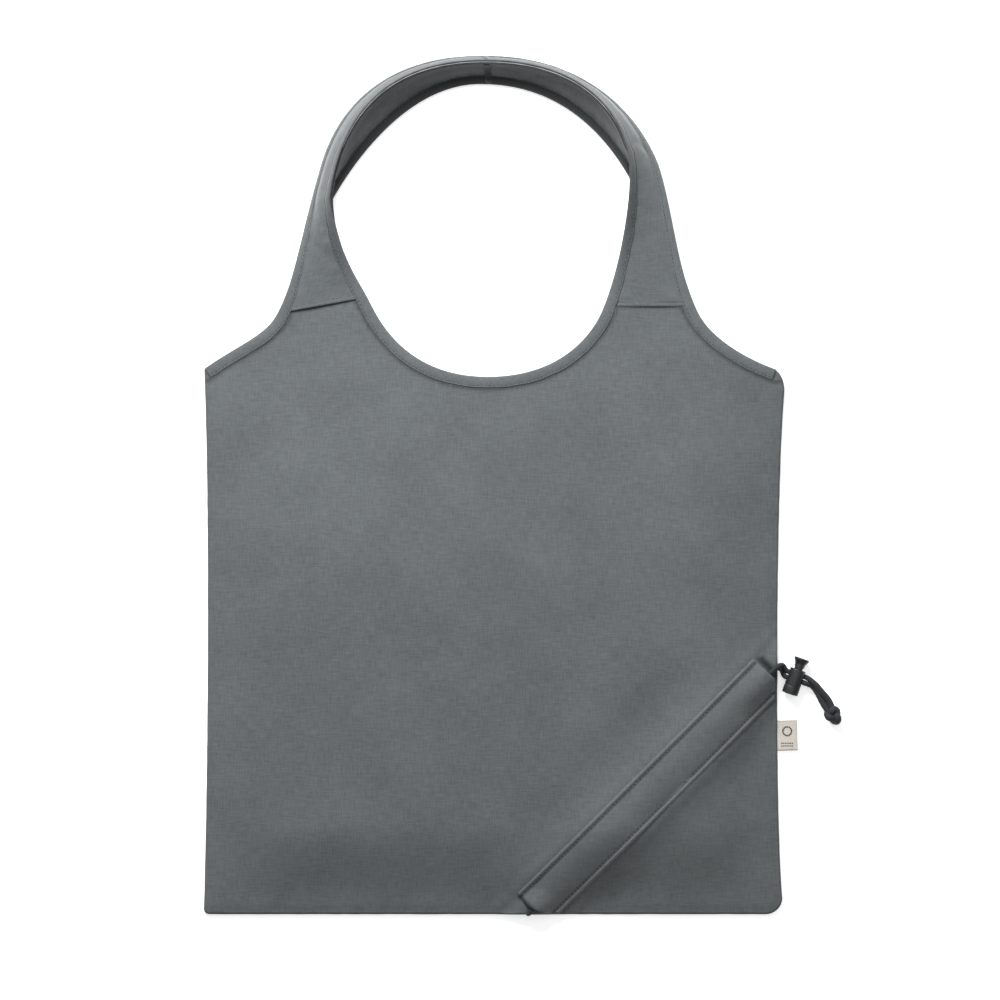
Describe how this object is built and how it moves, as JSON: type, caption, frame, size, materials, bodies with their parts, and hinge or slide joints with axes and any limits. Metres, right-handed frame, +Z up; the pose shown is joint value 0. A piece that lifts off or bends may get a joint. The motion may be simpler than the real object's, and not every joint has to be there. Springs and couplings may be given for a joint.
{
  "type": "foldable tote bag",
  "caption": "Thin woven tote bag with loop handles, bound edges and a drawcord casing across one lower corner, which serves as its storage pouch.",
  "frame": {"origin": "middle of the bag's footprint, on the surface it lies on (drawcord ends, knot and cord lock not counted)", "axes": "+Y from the bottom seam towards the handles, +X towards the side seam with the cord, +Z up out of the front panel"},
  "size_m": [0.4232, 0.575, 0.0271],
  "materials": {
    "nylon_fabric": "matte plain weave with a faint sheen",
    "binding_tape": "matte bias-cut tape, stitched",
    "braided_cord": "matte braid",
    "lock_plastic": "moulded, satin",
    "spring_steel": "drawn wire",
    "label_tape": "woven tape"
  },
  "bodies": {
    "bag": {"front_panel": "nylon_fabric", "back_panel": "nylon_fabric", "neck_binding_front": "binding_tape", "neck_binding_back": "binding_tape", "armhole_binding_left_front": "binding_tape", "armhole_binding_right_front": "binding_tape", "armhole_binding_left_back": "binding_tape", "armhole_binding_right_back": "binding_tape", "side_seam_tape_left": "binding_tape", "side_seam_tape_right": "binding_tape", "bottom_seam_tape": "binding_tape", "casing_front": "nylon_fabric", "casing_back": "nylon_fabric", "drawcord_in_casing": "braided_cord", "cord_end_front": "braided_cord", "cord_end_back": "braided_cord", "cord_knot": "braided_cord"},
    "front_handle": {"front_handle_left": "nylon_fabric", "front_handle_right": "nylon_fabric", "front_handle_outer_binding": "binding_tape", "front_handle_inner_binding": "binding_tape", "front_handle_seam_tape": "binding_tape"},
    "back_handle": {"back_handle_left": "nylon_fabric", "back_handle_right": "nylon_fabric", "back_handle_outer_binding": "binding_tape", "back_handle_inner_binding": "binding_tape", "back_handle_seam_tape": "binding_tape"},
    "label": {"side_label": "label_tape"},
    "cord_lock": {"cord_lock_barrel": "lock_plastic", "cord_lock_spring": "spring_steel"},
    "lock_button": {"cord_lock_plunger": "lock_plastic"}
  },
  "joints": [
    {"name": "front_handle_fold", "type": "hinge", "parent": "bag", "child": "front_handle", "pos_m": [-0.00535, 0.11877, 0.0062], "axis": [1, 0, 0], "range_deg": [0, 155]},
    {"name": "back_handle_fold", "type": "hinge", "parent": "bag", "child": "back_handle", "pos_m": [-0.00535, 0.11877, 0.0062], "axis": [1, 0, 0], "range_deg": [0, 152]},
    {"name": "label_flap", "type": "hinge", "parent": "bag", "child": "label", "pos_m": [0.18385, -0.16693, 0.0018], "axis": [0, -1, 0], "range_deg": [0, 105]},
    {"name": "cord_lock_slide", "type": "slide", "parent": "bag", "child": "cord_lock", "axis": [0.9415, -0.3371, 0], "range_m": [-0.001, 0.0035]},
    {"name": "cord_lock_press", "type": "slide", "parent": "cord_lock", "child": "lock_button", "axis": [-0.3371, -0.9415, 0], "range_m": [0, 0.003], "stiffness_N_per_m": 500, "springref_m": -0.002, "deforming": ["cord_lock_spring"]}
  ],
  "couplings": [
    {"joint": "back_handle_fold", "follows": "front_handle_fold", "ratio": 0.97}
  ]
}
